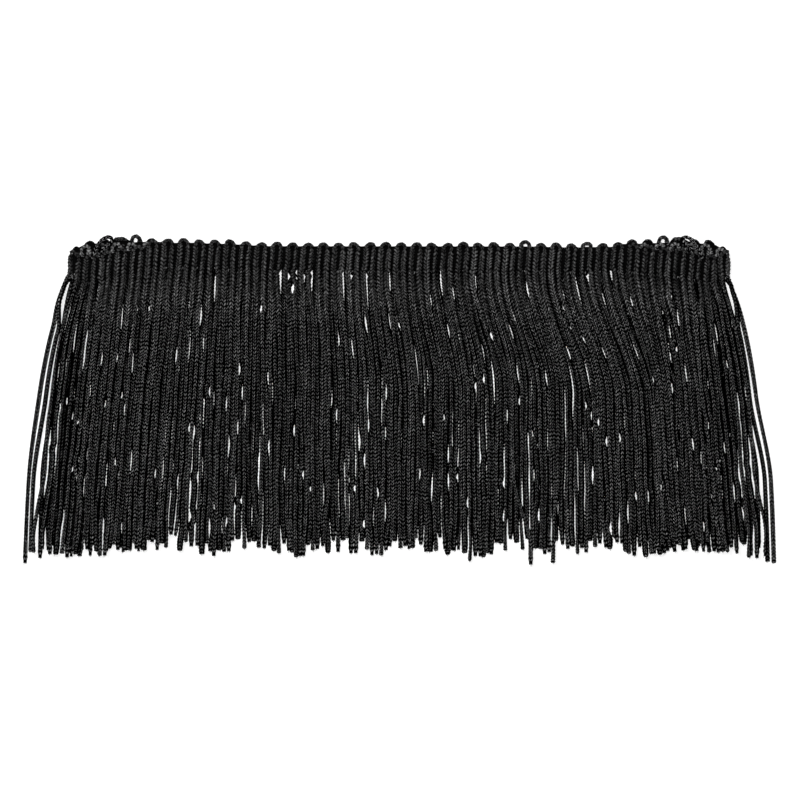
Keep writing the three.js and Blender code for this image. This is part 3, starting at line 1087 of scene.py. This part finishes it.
def heading_ground():
    """The woven ground that the ribs stand on, scalloped under the picots."""
    weave = Weave("heading_ground")
    along = along_band()
    high = GROUND_HIGH + GROUND_FILL * picot_rise(along)
    low = np.full_like(along, GROUND_LOW)
    edges = [(-1, low), (-1, high), (1, high), (1, low)]
    rings = [band_point(along, out * GROUND_THICK / 2, up)[0] for out, up in edges]
    across = np.array([GROUND_LOW, GROUND_HIGH, GROUND_HIGH, GROUND_LOW])
    weave.rings(np.stack(rings, 1), across, along, 0)
    return weave


def binding_threads():
    """Rows of thread that run along the band and bind the ribs to the ground."""
    weave = Weave("binding_threads")
    along = along_band()
    turn = np.linspace(0, 2 * math.pi, THREAD_SIDES, endpoint=False)[None, :, None]
    for row, up in enumerate(THREAD_ROWS):
        out = THREAD_OUT + THREAD_WAVE * np.cos(np.pi * (along / RIB_PITCH + row))
        centres, facing = band_point(along, out, up)
        tangent = unit(np.gradient(centres, axis=0))
        side = unit(np.cross(facing, tangent))
        face = np.cross(tangent, side)
        circle = np.cos(turn) * side[:, None] + np.sin(turn) * face[:, None]
        rings = centres[:, None] + THREAD_RADIUS * circle
        weave.rings(rings, np.cos(turn[0, :, 0]), along, row / len(THREAD_ROWS))
    return weave


def tip_fibres():
    """Short filaments that fray out of each cut tip."""
    weave = Weave("tip_fibres")
    rng = np.random.default_rng(SEED)
    angles = np.arange(FIBRE_SIDES) * 2 * math.pi / FIBRE_SIDES
    ring = np.stack([np.cos(angles), np.zeros(FIBRE_SIDES), np.sin(angles)], -1)
    places = FIBRE_PLACES[:, None]
    around = FIBRE_RADIUS * FIBRE_TAPER[:, None, None] * ring
    for half in range(1 - 2 * RIBS_EACH_WAY, 2 * RIBS_EACH_WAY):
        points = skirt_run(half).points
        tip, ahead = points[-1], unit(points[-1] - points[-3])
        for _ in range(FIBRES_PER_TIP):
            start = tip + rng.normal(0, FIBRE_SPREAD)
            aim = unit(ahead + rng.normal(0, FIBRE_AIM))
            bend = rng.normal(0, FIBRE_BEND)
            reach = rng.uniform(*FIBRE_LENGTH)
            centres = start + aim * reach * places + bend * np.clip(places, 0, 1) ** 2
            centres[:, 2] = np.maximum(centres[:, 2], 2 * FIBRE_RADIUS)
            rings = centres[:, None] + around
            weave.rings(rings, np.zeros(FIBRE_SIDES), np.zeros(len(rings)), FIBRE_TONE)
    return weave


black_yarn = yarn_finish()
black_ground = ground_finish()
heading_weave, skirt_weaves = lay_cords()
heading_piece = heading_weave.finish(black_yarn, "heading")
skirt_pieces = [weave.finish(black_yarn, "fringe") for weave in skirt_weaves]
ground_piece = heading_ground().finish(black_ground, "heading")
thread_piece = binding_threads().finish(black_ground, "heading")
fibre_piece = tip_fibres().finish(black_yarn, "fringe")

# Table, light and camera


def lay_table():
    """The table that the trim lies on."""
    bpy.ops.mesh.primitive_plane_add(size=TABLE_SIZE)
    table = bpy.context.object
    table.name = "pale_table"
    table.data.materials.append(table_finish())


def light_studio():
    """White surroundings all round."""
    world = bpy.data.worlds.new("studio")
    bpy.context.scene.world = world
    world.use_nodes = True
    background = world.node_tree.nodes["Background"]
    background.inputs["Color"].default_value = WHITE
    background.inputs["Strength"].default_value = WORLD_STRENGTH


def softbox(name, place, size, power):
    """A square lamp that faces the middle of the trim."""
    light = bpy.data.lights.new(name, "AREA")
    light.size = size
    light.energy = power
    holder = bpy.data.objects.new(name, light)
    holder.location = place
    holder.rotation_euler = (-holder.location).to_track_quat("-Z", "Y").to_euler()
    bpy.context.scene.collection.objects.link(holder)


def overhead_camera():
    """A camera that looks straight down, set to the width of its frame."""
    camera = bpy.data.cameras.new("overhead_camera")
    camera.sensor_width = SENSOR
    camera.lens = SENSOR * CAMERA_HEIGHT / FRAME_WIDTH
    camera.clip_start, camera.clip_end = CAMERA_CLIP
    holder = bpy.data.objects.new("overhead_camera", camera)
    holder.location = (*FRAME_CENTRE, CAMERA_HEIGHT)
    bpy.context.scene.collection.objects.link(holder)
    bpy.context.scene.camera = holder


lay_table()
light_studio()
softbox("key_softbox", KEY_PLACE, KEY_SIZE, KEY_POWER)
overhead_camera()
bpy.context.scene.view_settings.view_transform = "Standard"
